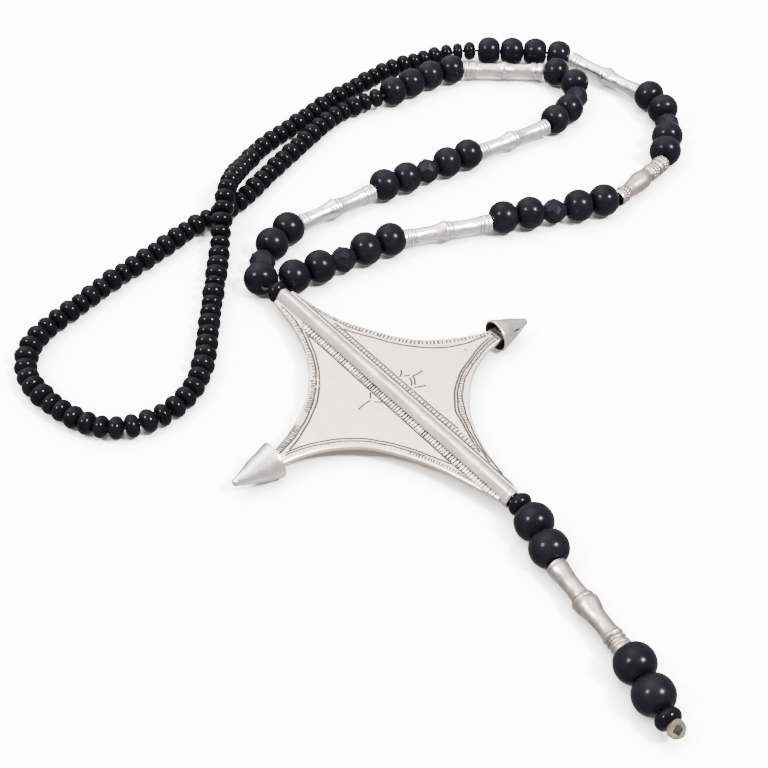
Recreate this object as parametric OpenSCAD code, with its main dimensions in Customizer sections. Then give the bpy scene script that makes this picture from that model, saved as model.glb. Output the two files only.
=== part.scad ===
// Wedding necklace of black beads and silver, lying on a surface.
// X runs to the right, Y away from the pendant's drop, Z up from the surface.

/* [Beads] */
// Widest diameter of a large round bead
bead_d = 10.8; // [10.4:0.1:11]
// Length of a large round bead along its hole
bead_len = 8.8; // [8.6:0.1:9]
// Widest diameter of a slightly smaller round bead
less_d = 10.4; // [10:0.1:10.6]
// Length of a slightly smaller round bead
less_len = 8.5; // [8.3:0.1:8.6]
// Diameter of the hole in a large bead
bead_bore = 2.2; // [2:0.1:2.4]
// Widest diameter of a small bead
small_d = 7; // [6.6:0.1:7.1]
// Length of a small bead along its hole
small_len = 3.8; // [3.6:0.1:3.9]
// Diameter of the hole in a small bead
small_bore = 2.2; // [2:0.1:2.3]
// Distance between neighbours in the small string
small_pitch = 4.5; // [4.4:0.05:4.8]
// Diameter of a faceted bead across its corners
facet_d = 8.7; // [8.2:0.1:8.9]
// Length of a faceted bead
facet_len = 7.4; // [7:0.1:7.6]
// Play between two neighbours on a straight stretch
play = 0.16; // [0.14:0.01:0.2]

/* [Spacer tubes] */
// Length of a plain spacer tube
tube_len = 29; // [28.5:0.1:29.4]
// Length of the ornate spacer tube
ornate_len = 27; // [26:0.1:27.5]
// Length of the long spacer tube
long_tube_len = 31.6; // [31:0.1:32]
// Length of the spacer tube in the drop
drop_tube_len = 28.6; // [28:0.1:29]
// Sheet thickness of a spacer tube
tube_wall = 0.5; // [0.4:0.05:0.7]

/* [Pendant] */
// Reach of the pendant's tube above the crossing of its axes
tube_up = 53; // [51:0.5:54]
// Reach of the pendant's tube below the crossing of its axes
tube_down = 50.3; // [49:0.1:51]
// Outer diameter of the pendant's tube
ridge_d = 5.5; // [5:0.1:6]
// Diameter of the hole through the pendant's tube
ridge_bore = 3.6; // [3:0.1:4]
// Thickness of the star-shaped plate
plate_t = 1.6; // [1.2:0.1:2]
// Reach of the left cone's tip from the crossing
cone_reach_left = 53.2; // [52:0.1:54]
// Reach of the right cone's tip from the crossing
cone_reach_right = 51.6; // [51:0.1:53]
// Length of a cone
cone_len = 13; // [12:0.5:14]
// Diameter of a cone at its open base
cone_d = 9.8; // [9:0.1:10]
// Sheet thickness of a cone
cone_wall = 0.7; // [0.5:0.1:1]

/* [Thread] */
// Diameter of the thread in the neck loop
thread_d = 1; // [0.9:0.1:1.1]
// Diameter of the doubled thread in the drop
drop_thread_d = 1.3; // [1.2:0.1:1.4]
// Diameter of the washer that ends the drop
washer_d = 4.8; // [4:0.1:5.2]
// Thickness of that washer
washer_t = 1.3; // [1:0.1:1.6]

/* [Hidden] */
$fn = 48;
black = [0.07, 0.07, 0.08];
blue_black = [0.1, 0.11, 0.14];
silver = [0.84, 0.83, 0.81];
hide = [0.74, 0.7, 0.62];

// Heights of the axes above the surface
bead_z = bead_d / 2;
small_z = small_d / 2;
less_z = less_d / 2;
facet_z = 4.7;
tube_z = 4.3;
plate_z = cone_d / 2;
ridge_z = plate_z + 0.45;

// Moves the whole necklace so that the middle of its box is over the origin
centre_shift = [1.6, 0.4, 0];

// Place and turn of the pendant, whose own Y axis is its tube
pendant_at = [2.2, -39.5, 0];
pendant_turn = 38.6;

// Route of the left strand, from the pendant outwards: x, y
left_route = [
    [-37.1, 5.5], [-38.7, 14.3], [-37.4, 22.4], [-33.6, 30.6], [-28.5, 37.7], [-16.6, 46.3],
    [-4.8, 54.8], [10, 63.6], [24, 72.5], [32, 77.6], [44.6, 85.6], [57.2, 93.4], [63.7, 100],
    [68.6, 107.3], [70.4, 114.9], [68.9, 122.6], [68.6, 124.7], [60.8, 129.3], [46.2, 130.2],
    [31.3, 130.8], [23.3, 128.9], [15.6, 124.6], [8.6, 119.1], [1.8, 112.8], [-4, 110.6]
];

// Route of the right strand, from the pendant outwards: x, y
right_route = [
    [-31.4, 8.7], [-23.3, 13.5], [-15.4, 18.3], [-8.4, 22.4], [-1.3, 27.3], [6.2, 31],
    [20.3, 35.3], [34.2, 39], [42.4, 41.4], [51, 43.5], [59.2, 45.2], [67.5, 47.6], [76, 50.7],
    [85.5, 61], [94.7, 71.2], [97.2, 80.1], [99.3, 89.1], [100.2, 97.2], [99.2, 105.6],
    [94.6, 113.4], [83, 125.5], [71.3, 137.2], [62.5, 140.6], [53.4, 141.6], [44, 141.9],
    [35.2, 142.3], [30, 143.2]
];

// Route of the string of small beads, between the ends of the two strands: x, y, z
string_route = [
    [-4.2, 111, 4.3], [-10, 107.9, 3.5], [-19, 100, 3.5], [-27, 87, 3.5], [-37.5, 69.5, 3.5],
    [-46, 54, 3.5], [-51.5, 46.3, 3.5], [-60.5, 39.5, 3.5], [-72, 25, 3.5], [-84.5, 11, 3.5],
    [-93.5, -1.5, 3.5], [-100.5, -10.3, 3.5], [-104.2, -19.2, 3.5], [-103.6, -28.7, 3.5],
    [-98.5, -37.2, 3.5], [-91, -44, 3.5], [-83, -49.5, 3.5], [-74, -51.7, 3.5],
    [-64.5, -48.5, 3.5], [-55.5, -39, 3.5], [-52.3, -26.5, 3.5], [-52.3, -8.5, 3.5],
    [-52.2, 9.5, 3.5], [-52.1, 22, 3.5], [-52, 32.5, 6.4], [-51.6, 43, 10], [-50.9, 52, 10.5],
    [-49.2, 62.5, 7.4], [-46.4, 73, 4.3], [-42, 83, 3.5], [-32, 95, 3.5], [-21.5, 108.5, 3.5],
    [-10, 120.5, 3.5], [0, 130.5, 3.5], [11.5, 137.5, 3.5], [21.5, 142.2, 3.6],
    [29.5, 143.2, 4.5]
];

// Route of the drop, from the lower end of the pendant's tube: x, y, z
drop_route = [
    [34.3, -78.6, 5.2], [37, -82.4, 5.2], [40.5, -90.9, 5.4], [43.3, -99.7, 5.4], [50.3, -112.4, 5.4],
    [57.2, -124.8, 5.4], [60.7, -133, 5.4], [63.4, -141.4, 5.4], [65.2, -145, 5.4], [67, -148, 5.4]
];

// What hangs on each strand, from the pendant outwards
left_items = [
    "round", "facet", "round", "round", "tube", "round", "less", "facet", "less", "less",
    "tube", "less", "less", "facet", "less", "less", "tube", "less", "less", "less", "less"
];
right_items = [
    "round", "round", "facet", "round", "round", "tube", "round", "round", "facet", "round",
    "round", "ornate", "round", "round", "facet", "round", "round", "long", "less", "less",
    "less", "less"
];
drop_items = ["small", "round", "round", "drop", "round", "round", "small", "washer"];

// Outer profiles of the spacer tubes: share of the length, radius
plain_profile = [
    [0, 2.7], [0.03, 2.85], [0.06, 2.6], [0.09, 2.75], [0.12, 2.5], [0.28, 2.3], [0.4, 2.5],
    [0.47, 3.2], [0.51, 3.35], [0.55, 2.8], [0.6, 2.45], [0.74, 2.35], [0.88, 2.55], [0.91, 2.75],
    [0.94, 2.65], [0.97, 2.85], [1, 2.75]
];
collared_profile = [
    [0, 2.8], [0.02, 3], [0.05, 3], [0.06, 2.6], [0.08, 2.6], [0.09, 3.05], [0.14, 3.05],
    [0.15, 2.5], [0.3, 2.35], [0.42, 2.5], [0.48, 3.05], [0.52, 3.1], [0.58, 2.5], [0.7, 2.35],
    [0.84, 2.5], [0.85, 3.05], [0.9, 3.05], [0.91, 2.6], [0.93, 2.6], [0.94, 3], [0.98, 3], [1, 2.8]
];
ornate_profile = [
    [0, 2.65], [0.04, 2.95], [0.09, 2.65], [0.14, 2.95], [0.19, 2.5], [0.27, 2.45], [0.4, 3.1],
    [0.5, 3.35], [0.58, 3.1], [0.65, 2.4], [0.68, 2.75], [0.75, 2.95], [0.81, 2.7], [0.84, 2.4],
    [0.87, 2.95], [0.91, 2.6], [0.95, 2.95], [1, 2.65]
];
drop_profile = [
    [0, 2.7], [0.04, 2.85], [0.1, 2.6], [0.25, 2.4], [0.39, 2.4], [0.41, 2.9], [0.44, 3.3],
    [0.49, 3.35], [0.56, 2.8], [0.68, 2.4], [0.8, 2.45], [0.85, 2.75], [0.88, 2.5], [0.92, 2.8],
    [0.96, 2.6], [1, 2.75]
];

// Edge of the plate in one quarter: the four points of a cubic curve
edge_curve = [[2.9, 52.5], [6.4, 22.5], [18.5, 7.5], [39.5, 2.1]];
edge_steps = 20;
arm_depth = 6.5;
arm_half = 2;

// Widening of the gap in a bend beside a tube, a faceted or a small bead
tube_shoulder = 2.6;

// Thread left bare at each end of the small string
string_margin = 0.8;

// Smooth curves through the points of a route
function spline(a, b, c, d, t) =
    0.5 * (2 * b + (c - a) * t + (2 * a - 5 * b + 4 * c - d) * t * t
    + (3 * b - a - 3 * c + d) * t * t * t);
function smooth(route, steps = 6) = [
    for (i = [0:len(route) - 2])
        for (k = [0:(i == len(route) - 2 ? steps : steps - 1)])
            spline(route[max(i - 1, 0)], route[i], route[i + 1],
                route[min(i + 2, len(route) - 1)], k / steps)
];
function lengths(pts) = [
    for (i = 0, s = 0; i < len(pts);
        s = s + (i < len(pts) - 1 ? norm(pts[i + 1] - pts[i]) : 0), i = i + 1) s
];

// A path is a table of distance, x, y and z for each of its points
function path_of(route) =
    let (pts = smooth(route), s = lengths(pts))
    [for (c = [0:2]) [for (i = [0:len(pts) - 1]) [s[i], pts[i][c]]]];
function at(path, s) = [for (c = [0:2]) lookup(s, path[c])];
function path_length(path) = path[0][len(path[0]) - 1][0];
function lifted(route, z) = [for (p = route) [p[0], p[1], z]];

// Angle between two directions, in degrees
function bend(u, v) = acos(min(1, u * v / (norm(u) * norm(v))));

function is_round(kind) = kind == "round" || kind == "less";
function item_len(kind) =
    kind == "round" ? bead_len :
    kind == "less" ? less_len :
    kind == "facet" ? facet_len :
    kind == "small" ? small_len :
    kind == "tube" ? tube_len :
    kind == "ornate" ? ornate_len :
    kind == "long" ? long_tube_len :
    kind == "drop" ? drop_tube_len : washer_t;

// End of a straight piece of a given length that starts on the path
function end_after(path, s, length) =
    s + length * length / norm(at(path, s + length) - at(path, s));

// Distance left after an item, wide enough for it and the next to clear in a bend
function gap_for(path, a, b, kind, next, guess) =
    let (
        start = b + guess,
        this_way = at(path, b) - at(path, a),
        next_way = at(path, end_after(path, start, item_len(next))) - at(path, start),
        half = bend(this_way, next_way) / 2,
        shoulder = is_round(kind) && is_round(next) ? bead_d - bead_len : tube_shoulder
    )
    (bead_len + play + shoulder * sin(half)) / cos(half) - bead_len;
function gap_after(path, a, b, kind, next) =
    gap_for(path, a, b, kind, next, gap_for(path, a, b, kind, next, 0.4));

// Start and end distances of each item in a row
function places(path, items) = [
    for (i = 0, a = 0, b = end_after(path, 0, item_len(items[0]));
        i < len(items);
        i = i + 1,
        a = i < len(items) ? b + gap_after(path, a, b, items[i - 1], items[i]) : b,
        b = i < len(items) ? end_after(path, a, item_len(items[i])) : b) [a, b]
];

// Height of the axis of a kind of piece; small pieces keep the height of the route
function item_z(kind, z) =
    kind == "round" ? bead_z :
    kind == "less" ? less_z :
    kind == "facet" ? facet_z :
    kind == "small" || kind == "washer" ? z : tube_z;

// Two ends of each item of a row
function spans_of(path, items) =
    let (spans = places(path, items))
    [
        for (i = [0:len(items) - 1])
            [for (s = spans[i]) let (p = at(path, s)) [p[0], p[1], item_z(items[i], p[2])]]
    ];

left_path = path_of(lifted(left_route, bead_z));
left_spans = spans_of(left_path, left_items);
right_path = path_of(lifted(right_route, bead_z));
right_spans = spans_of(right_path, right_items);
drop_path = path_of(drop_route);
drop_spans = spans_of(drop_path, drop_items);

// The small string runs from the last bead of one strand to that of the other
left_end = left_spans[len(left_spans) - 1][1];
right_end = right_spans[len(right_spans) - 1][1];
string_path = path_of(concat([left_end], string_route, [right_end]));
string_len = path_length(string_path) - 2 * string_margin;
small_count = round(string_len / small_pitch);
string_step = string_len / small_count;
function on_surface(s) = let (p = at(string_path, s)) [p[0], p[1], max(p[2], small_z)];
small_spans = [
    for (i = [0:small_count - 1])
        let (middle = string_margin + (i + 0.5) * string_step)
        [on_surface(middle - small_len / 2), on_surface(middle + small_len / 2)]
];
small_half = floor(small_count / 2);

// The bead where the two strands meet, in line with the pendant's tube
pendant_up = [-sin(pendant_turn), cos(pendant_turn), 0];
tube_top = pendant_at + [0, 0, ridge_z] + pendant_up * (tube_up + 2 * play);
top_bead_span = [tube_top, tube_top + pendant_up * small_len - [0, 0, 0.4]];
meeting = top_bead_span[1] + pendant_up * 0.6;

function flat(list) = [for (pair = list) for (p = pair) p];
function reversed(list) = [for (i = [len(list) - 1:-1:0]) list[i]];

// Point from which the thread turns into the first bead of the left strand
left_lead = left_spans[0][0] + [0.15, -0.8, -0.1];

loop_points = concat([meeting, left_lead], flat(left_spans), flat(small_spans),
    reversed(flat(right_spans)), [meeting]);
drop_points = concat([meeting, top_bead_span[0]], flat(drop_spans));

// Puts a piece drawn along Z, centred on the origin, on the line from a to b
module along(span) {
    d = span[1] - span[0];
    translate((span[0] + span[1]) / 2)
        rotate([0, acos(d[2] / norm(d)), atan2(d[1], d[0])])
            children();
}

// A cord with flat sides that follows a row of points
module swept_cord(points, d, sides = 6) {
    n = len(points);
    rings = [
        for (i = [0:n - 1])
            let (
                dir = points[min(i + 1, n - 1)] - points[max(i - 1, 0)],
                side = cross(dir, [0, 0, 1]) / norm(cross(dir, [0, 0, 1])),
                up = cross(side, dir) / norm(dir)
            )
            for (k = [0:sides - 1])
                points[i] + d / 2 * (cos(360 * k / sides) * side + sin(360 * k / sides) * up)
    ];
    walls = [
        for (i = [0:n - 2])
            for (k = [0:sides - 1])
                for (t = [0, 1])
                    t == 0
                        ? [i * sides + k, i * sides + (k + 1) % sides, (i + 1) * sides + k]
                        : [(i + 1) * sides + k, i * sides + (k + 1) % sides,
                            (i + 1) * sides + (k + 1) % sides]
    ];
    caps = [
        [for (k = [sides - 1:-1:0]) k],
        [for (k = [0:sides - 1]) (n - 1) * sides + k]
    ];
    polyhedron(rings, concat(walls, caps));
}

// A drilled bead: a circle pushed out from the axis and turned round it
module turned_bead(d, length, bore) {
    rotate_extrude()
        difference() {
            translate([(d - length) / 2, 0])
                circle(d = length);
            translate([bore / 2 - d, -d])
                square([d, 2 * d]);
        }
}

module small_bead() {
    turned_bead(small_d, small_len, small_bore);
}

// A cut bead with eight facets above and below a flat belt, and a table at each end
module faceted_bead() {
    belt = facet_len * 0.24;
    crown = (facet_len - belt) / 2;
    table_d = facet_d * 0.5;
    difference() {
        union() {
            cylinder(h = belt, d = facet_d, center = true, $fn = 8);
            for (s = [0, 1])
                mirror([0, 0, s])
                    translate([0, 0, belt / 2])
                        cylinder(h = crown, d1 = facet_d, d2 = table_d, $fn = 8);
        }
        cylinder(h = facet_len + 2, d = bead_bore, center = true);
    }
}

// A hollow silver tube with an even wall, from its outer profile
module spacer(length, profile) {
    outer = [for (p = profile) [p[1], (p[0] - 0.5) * length]];
    inner = [for (p = reversed(profile)) [p[1] - tube_wall, (p[0] - 0.5) * length]];
    rotate_extrude()
        polygon(concat(outer, inner));
}

module item(kind) {
    if (kind == "round") turned_bead(bead_d, bead_len, bead_bore);
    if (kind == "less") turned_bead(less_d, less_len, bead_bore);
    if (kind == "small") small_bead();
    if (kind == "facet") faceted_bead();
    if (kind == "tube") spacer(tube_len, plain_profile);
    if (kind == "collared") spacer(tube_len, collared_profile);
    if (kind == "ornate") spacer(ornate_len, ornate_profile);
    if (kind == "long") spacer(long_tube_len, plain_profile);
    if (kind == "drop") spacer(drop_tube_len, drop_profile);
}

// All the round beads in a row
module round_beads(spans, items) {
    for (i = [0:len(items) - 1])
        if (is_round(items[i]))
            along(spans[i]) item(items[i]);
}

// The places of the nth piece of one kind in a row
function nth_span(spans, items, kinds, n) =
    [for (i = [0:len(items) - 1]) if (search([items[i]], kinds) != [[]]) spans[i]][n];

module placed() {
    translate(centre_shift) children();
}

function curve_point(c, t) =
    pow(1 - t, 3) * c[0] + 3 * pow(1 - t, 2) * t * c[1] + 3 * (1 - t) * t * t * c[2]
    + pow(t, 3) * c[3];

// Outline of the plate, one quarter after another
quarter = [for (i = [0:edge_steps]) curve_point(edge_curve, i / edge_steps)];
module plate_outline() {
    arm_left = cone_reach_left - cone_len + arm_depth;
    arm_right = cone_reach_right - cone_len + arm_depth;
    right_end = [[arm_right, arm_half], [arm_right, -arm_half]];
    left_end = [[-arm_left, -arm_half], [-arm_left, arm_half]];
    polygon(concat(
        quarter,
        right_end,
        reversed([for (p = quarter) [p[0], -p[1] * (p[1] > 45 ? 0.95 : 1)]]),
        [for (p = quarter) [-p[0], -p[1] * (p[1] > 45 ? 0.95 : 1)]],
        left_end,
        reversed([for (p = quarter) [-p[0], p[1]]])
    ));
}

// A cone of bent sheet, open at its base, with its tip at the origin and its base below
module sheet_cone() {
    tip_r = 0.9;
    r = cone_d / 2;
    rotate_extrude()
        polygon([
            [r - 0.3, -cone_len], [r, -cone_len + 0.3], [tip_r, -tip_r],
            [tip_r * 0.6, -0.2], [0, 0], [0, -tip_r - cone_wall],
            [r - cone_wall, -cone_len + 0.1], [r - cone_wall, -cone_len]
        ]);
}

module pendant() {
    color(silver) placed()
        translate(pendant_at)
            rotate([0, 0, pendant_turn])
                difference() {
                    union() {
                        translate([0, 0, plate_z - plate_t / 2])
                            linear_extrude(plate_t) plate_outline();
                        translate([0, tube_up, ridge_z])
                            rotate([90, 0, 0])
                                cylinder(h = tube_up + tube_down, d = ridge_d);
                        translate([cone_reach_right, 0, plate_z])
                            rotate([0, 90, 0]) sheet_cone();
                        translate([-cone_reach_left, 0, plate_z])
                            rotate([0, -90, 0]) sheet_cone();
                    }
                    translate([0, tube_up + 1, ridge_z])
                        rotate([90, 0, 0])
                            cylinder(h = tube_up + tube_down + 2, d = ridge_bore);
                }
}

module thread() {
    color(black) placed() {
        swept_cord(loop_points, thread_d);
        swept_cord(drop_points, drop_thread_d);
    }
}

module left_round_beads() {
    color(black) placed() round_beads(left_spans, left_items);
}

module right_round_beads() {
    color(black) placed() round_beads(right_spans, right_items);
}

module small_beads_left() {
    color(black) placed()
        for (i = [0:small_half - 1]) along(small_spans[i]) small_bead();
}

module small_beads_right() {
    color(black) placed()
        for (i = [small_half:small_count - 1]) along(small_spans[i]) small_bead();
}

module left_faceted_bead(n) {
    color(blue_black) placed() along(nth_span(left_spans, left_items, ["facet"], n)) item("facet");
}

module right_faceted_bead(n) {
    color(blue_black) placed() along(nth_span(right_spans, right_items, ["facet"], n)) item("facet");
}

module left_tube(n, kind) {
    color(silver) placed() along(nth_span(left_spans, left_items, ["tube"], n)) item(kind);
}

module right_tube(n, kind) {
    color(silver) placed()
        along(nth_span(right_spans, right_items, ["tube", "ornate", "long"], n)) item(kind);
}

module drop_item(n) {
    kind = drop_items[n];
    color(kind == "drop" ? silver : black) placed() along(drop_spans[n]) item(kind);
}

module top_small_bead() {
    color(black) placed() along(top_bead_span) small_bead();
}

module stop_washer() {
    color(hide) placed() along(drop_spans[len(drop_spans) - 1])
        rotate_extrude()
            translate([drop_thread_d / 2 + 0.1, -washer_t / 2])
                square([(washer_d - drop_thread_d) / 2 - 0.1, washer_t]);
}

pendant();
thread();
left_round_beads();
right_round_beads();
small_beads_left();
small_beads_right();
left_faceted_bead(0);  // left_faceted_bead_1
left_faceted_bead(1);  // left_faceted_bead_2
left_faceted_bead(2);  // left_faceted_bead_3
right_faceted_bead(0);  // right_faceted_bead_1
right_faceted_bead(1);  // right_faceted_bead_2
right_faceted_bead(2);  // right_faceted_bead_3
left_tube(0, "tube");  // left_tube_1
left_tube(1, "tube");  // left_tube_2
left_tube(2, "collared");  // left_tube_3
right_tube(0, "tube");  // right_tube_1
right_tube(1, "ornate");  // right_tube_2
right_tube(2, "long");  // right_tube_3
top_small_bead();
drop_item(0);  // bottom_small_bead
drop_item(1);  // drop_bead_1
drop_item(2);  // drop_bead_2
drop_item(3);  // drop_tube
drop_item(4);  // drop_bead_3
drop_item(5);  // drop_bead_4
drop_item(6);  // end_small_bead
stop_washer();
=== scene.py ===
"""Necklace of black beads and silver: finer shapes, materials, camera and light."""

import math

import bpy
import numpy as np
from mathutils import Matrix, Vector
from mathutils.geometry import delaunay_2d_cdt


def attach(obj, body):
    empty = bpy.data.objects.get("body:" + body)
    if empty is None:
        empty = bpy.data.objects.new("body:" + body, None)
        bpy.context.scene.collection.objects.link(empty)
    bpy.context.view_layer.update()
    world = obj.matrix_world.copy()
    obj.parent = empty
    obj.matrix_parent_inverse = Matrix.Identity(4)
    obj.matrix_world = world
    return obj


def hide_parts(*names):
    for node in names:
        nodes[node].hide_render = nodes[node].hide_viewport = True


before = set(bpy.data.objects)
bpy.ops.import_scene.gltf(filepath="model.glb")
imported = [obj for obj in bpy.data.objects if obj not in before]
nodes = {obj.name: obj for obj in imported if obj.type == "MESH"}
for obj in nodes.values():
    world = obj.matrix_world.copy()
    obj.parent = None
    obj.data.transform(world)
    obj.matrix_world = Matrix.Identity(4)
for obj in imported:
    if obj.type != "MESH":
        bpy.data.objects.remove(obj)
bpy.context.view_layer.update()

MM = 0.001
UP = np.array([0.0, 0.0, 1.0])

# Camera: place, tilt and lens
CAMERA_AT = (0.0016, -0.3036, 0.2734)
CAMERA_TILT = math.radians(45)
CAMERA_LENS = 62.67

# Light: the grey of the surround by share of the way to its brightest side, and the lamps' radiance
WORLD_STRENGTH = 9.0
WORLD_BRIGHT_FROM = (-0.331, 0.402, 0.854)
WORLD_GREYS = ((0.0, 0.178), (0.07, 0.105), (0.35, 0.095), (0.46, 0.08), (0.66, 0.105), (0.76, 0.15),
               (0.835, 0.195), (0.945, 0.42), (1.0, 1.0))
LAMP_SIZE = 0.36
LAMP_AWAY = 2.0
LAMP_COLOUR = (0.97, 0.975, 1.0)
LAMP_RIGHT = 850
LAMP_LEFT = 330
FILL = 19
FLOOR_HALF = 6.0

# Beads, in mm: a round bead whose solid is longer than ROUND_WIDE_FROM is one of the wider ones, and
# FILL_SHARE and FILL_MOST say how much of the room before its neighbours a round bead takes up
ROUND_WIDE = 10.8
ROUND_NARROW = 10.4
ROUND_WIDE_FROM = 8.65
ROUND_BORE = 1.4
ROUND_SHARE = 0.995
NEIGHBOUR_WITHIN = 12.5
FILL_SHARE = 0.92
FILL_MOST = 1.2
SMALL_WIDTH = 7.0
SMALL_BORE = 2.0
SMALL_SHARE = 0.93
TUBE_BORE_R = 1.9
THREAD_R = 0.5
DROP_THREAD_R = 0.64

# Pendant, in mm: place of its crossing and its turn; the plate's top and thickness; the tube's axis, its
# two ends, radius and bore; the bevel round the plate's top and under its foot
PENDANT_AT = np.array([3.8, -39.1])
PENDANT_TURN = math.radians(38.6)
PLATE_TOP = 5.75
PLATE_THICKNESS = 1.6
RIDGE_Z = 5.4
RIDGE_UP = 53.0
RIDGE_DOWN = 50.3
RIDGE_R = 2.75
RIDGE_BORE_R = 1.8
RIM_WIDTH = 0.3
RIM_DROP = 0.28
UNDER_DROP = 0.25

# Strip beside the tube: its two sides, the height of its foot, and the stretch that engraving clears
STRIP_X = 4.1
STRIP_INNER_X = 2.25
STRIP_FOOT = 5.62
STRIP_CLEAR = (-34, 39)

# Flattened flanks of the pendant's tube: middle and half width in degrees, and sharpness
RIDGE_FLANKS = ((218.5, 36.5, 6.0), (330.0, 30.0, 9.0))

# Engraving: room kept on the tube's right, and on its left where there is no strip; how much wider than
# life the lines are, so that they show on the bright plate; step along a line, and shortest rung
SEAM_X = 3.85
BARE_X = 3.0
LINE_SCALE = 1.3
RUNG_SCALE = 1.12
LINE_STEP = 0.7
RUNG_MIN = 0.35

# Cones: tip, turn in the plate's plane, length, radius of the base, height of the axis, depth of the hollow
CONES = {
    "left": ((-54.0, -0.1), 180.0, 13.7, 5.3, 5.35, 12.0),
    "right": ((50.7, -1.2), -3.7, 12.0, 4.95, 5.0, 9.0),
}
CONE_TIP_R = 1.2
CONE_WALL = 0.6

# Outline of the plate in the pendant's own plane, in mm, edge by edge
EDGES = {
    "upper_right": [
        (44.5, 1.9), (40.5, 2.0), (36.5, 2.4), (32.0, 4.1), (24.8, 8.0), (20.0, 11.6), (16.0, 16.2),
        (12.8, 21.5), (10.4, 26.0), (8.3, 30.2), (6.5, 35.0), (5.2, 40.0), (4.4, 45.0), (3.9, 49.5),
        (3.7, 52.6),
    ],
    "upper_left": [
        (-3.5, 52.4), (-4.0, 49.5), (-4.9, 44.0), (-5.6, 40.0), (-6.7, 36.0), (-7.5, 33.0), (-8.6, 30.0),
        (-10.4, 26.2), (-11.8, 23.7), (-15.5, 18.4), (-20.2, 13.2), (-25.6, 9.1), (-32.2, 5.4),
        (-38.3, 2.9), (-41.0, 2.3), (-45.0, 2.0),
    ],
    "lower_left": [
        (-45.0, -2.4), (-41.0, -2.5), (-38.6, -2.6), (-35.6, -3.0), (-31.6, -4.0), (-26.9, -5.9),
        (-21.9, -9.0), (-17.3, -13.1), (-12.4, -20.3), (-8.1, -29.3), (-5.0, -39.3), (-2.3, -49.4),
    ],
    "lower_right": [
        (3.5, -49.4), (4.3, -42.0), (5.6, -35.2), (7.8, -28.4), (11.0, -21.6), (15.9, -15.1),
        (22.4, -9.1), (30.4, -4.8), (36.7, -3.2), (40.5, -2.9), (44.5, -2.6),
    ],
}


def unit(v):
    return v / np.linalg.norm(v)


def units(rows):
    """Each row of vectors brought to length 1."""
    return rows / np.maximum(np.linalg.norm(rows, axis=-1, keepdims=True), 1e-9)


def left_of(way):
    """Directions to the left of those of a line in the plane."""
    return np.stack([-way[:, 1], way[:, 0]], 1)


def phase(rng):
    """A random phase of up to about a whole turn."""
    return rng.uniform(0, 6.3)


# Camera, floor and light

def shader_node(tree, kind, feeds, output, **settings):
    """One output of a new node, with its settings, and its inputs linked or set to plain values."""
    node = tree.nodes.new(kind)
    for key, value in settings.items():
        setattr(node, key, value)
    for key, value in feeds.items():
        if isinstance(value, bpy.types.NodeSocket):
            tree.links.new(value, node.inputs[key])
        else:
            node.inputs[key].default_value = value
    return node.outputs[output]


def aim(ob, target):
    ob.rotation_euler = (Vector(target) - ob.location).to_track_quat("-Z", "Y").to_euler()


def add(ob):
    bpy.context.scene.collection.objects.link(ob)
    return ob


def make_camera():
    data = bpy.data.cameras.new("camera")
    data.lens = CAMERA_LENS
    data.sensor_width = 36
    data.clip_start = 0.01
    data.clip_end = 30
    camera = add(bpy.data.objects.new("camera", data))
    camera.location = CAMERA_AT
    camera.rotation_euler = (CAMERA_TILT, 0, 0)
    bpy.context.scene.camera = camera


def make_light(name, direction, distance, size, radiance, colour, seen=True):
    """A round soft lamp in a direction from the middle of the necklace."""
    data = bpy.data.lights.new(name, "AREA")
    data.shape = "DISK"
    data.size = size
    data.energy = radiance * math.pi * math.pi * (size / 2) ** 2
    data.color = colour
    lamp = add(bpy.data.objects.new(name, data))
    lamp.location = Vector(direction).normalized() * distance
    aim(lamp, (0, 0, 0))
    lamp.visible_glossy = seen


def make_world():
    """Soft studio surround: brightest high behind the left side, grey in front and low down."""
    world = bpy.data.worlds.new("studio")
    bpy.context.scene.world = world
    world.use_nodes = True
    tree = world.node_tree
    place = shader_node(tree, "ShaderNodeTexCoord", {}, "Generated")
    dot = shader_node(tree, "ShaderNodeVectorMath", {0: place, 1: WORLD_BRIGHT_FROM}, "Value",
                      operation="DOT_PRODUCT")
    spread = shader_node(tree, "ShaderNodeMapRange", {"Value": dot, "From Min": -1}, "Result")
    ramp = tree.nodes.new("ShaderNodeValToRGB")
    elements = ramp.color_ramp.elements
    for share, _ in WORLD_GREYS[1:-1]:
        elements.new(share)
    for element, (share, grey) in zip(sorted(elements, key=lambda e: e.position), WORLD_GREYS):
        element.color = (grey, grey, grey, 1)
    tree.links.new(spread, ramp.inputs["Fac"])
    background = tree.nodes["Background"]
    tree.links.new(ramp.outputs["Color"], background.inputs["Color"])
    background.inputs["Strength"].default_value = WORLD_STRENGTH


def make_floor():
    mesh = bpy.data.meshes.new("floor")
    corners = [(x * FLOOR_HALF, y * FLOOR_HALF, 0) for x, y in ((-1, -1), (1, -1), (1, 1), (-1, 1))]
    mesh.from_pydata(corners, [], [(0, 1, 2, 3)])
    floor = add(bpy.data.objects.new("floor", mesh))
    p = Paint("floor_paper")
    p.set(Roughness=0.9, Specular_IOR_Level=0.0)
    # Painted shadow: the floor's colour darkens to a warm grey near the necklace, by ambient occlusion, where
    # it lies in shade
    painted_contact_shadow = p.node("ShaderNodeAmbientOcclusion", {"Distance": 0.016}, "AO", samples=6)
    p.link(p.mix(p.range(painted_contact_shadow, 0.3, 0.95), (0.52, 0.49, 0.47), (0.955, 0.955, 0.96)),
           "Base Color")
    mesh.materials.append(p.material)
    floor.visible_glossy = False


# Materials

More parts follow.
